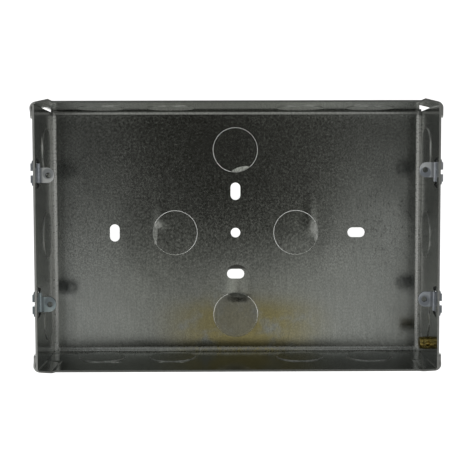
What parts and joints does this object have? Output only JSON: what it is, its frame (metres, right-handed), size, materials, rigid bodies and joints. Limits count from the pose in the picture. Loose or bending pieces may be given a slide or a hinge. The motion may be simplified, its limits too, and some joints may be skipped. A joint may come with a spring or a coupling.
{
  "type": "flush back box",
  "caption": "Shallow open-fronted folded steel wall box with round knockouts, slotted back fixings, floating screw lugs in the side walls and a brass earth terminal.",
  "frame": {"origin": "middle of the outer face of the back plate, under the centre of the overall box", "axes": "+Z out of the open front, +X to the right and +Y up as the front is seen"},
  "size_m": [0.2066, 0.1381, 0.05],
  "materials": {
    "galvanised_sheet": "galvanised steel sheet, semi-gloss with a fine grain",
    "zinc_plate": "bright zinc-plated steel",
    "brass": "turned brass, slightly dulled"
  },
  "bodies": {
    "box": {"box_shell": "galvanised_sheet", "earth_terminal": "brass", "earth_screw": "brass"},
    "lug_left_upper": {"lug_left_upper": "zinc_plate"},
    "lug_left_lower": {"lug_left_lower": "zinc_plate"},
    "lug_right_upper": {"lug_right_upper": "zinc_plate"},
    "lug_right_lower": {"lug_right_lower": "zinc_plate"}
  },
  "joints": [
    {"name": "left_upper_float", "type": "slide", "parent": "box", "child": "lug_left_upper", "axis": [0, 1, 0], "range_m": [-0.001, 0.0004]},
    {"name": "left_lower_float", "type": "slide", "parent": "box", "child": "lug_left_lower", "axis": [0, 1, 0], "range_m": [-0.0004, 0.001]},
    {"name": "right_upper_float", "type": "slide", "parent": "box", "child": "lug_right_upper", "axis": [0, 1, 0], "range_m": [-0.0011, 0.0003]},
    {"name": "right_lower_float", "type": "slide", "parent": "box", "child": "lug_right_lower", "axis": [0, 1, 0], "range_m": [-0.0003, 0.0011]}
  ]
}
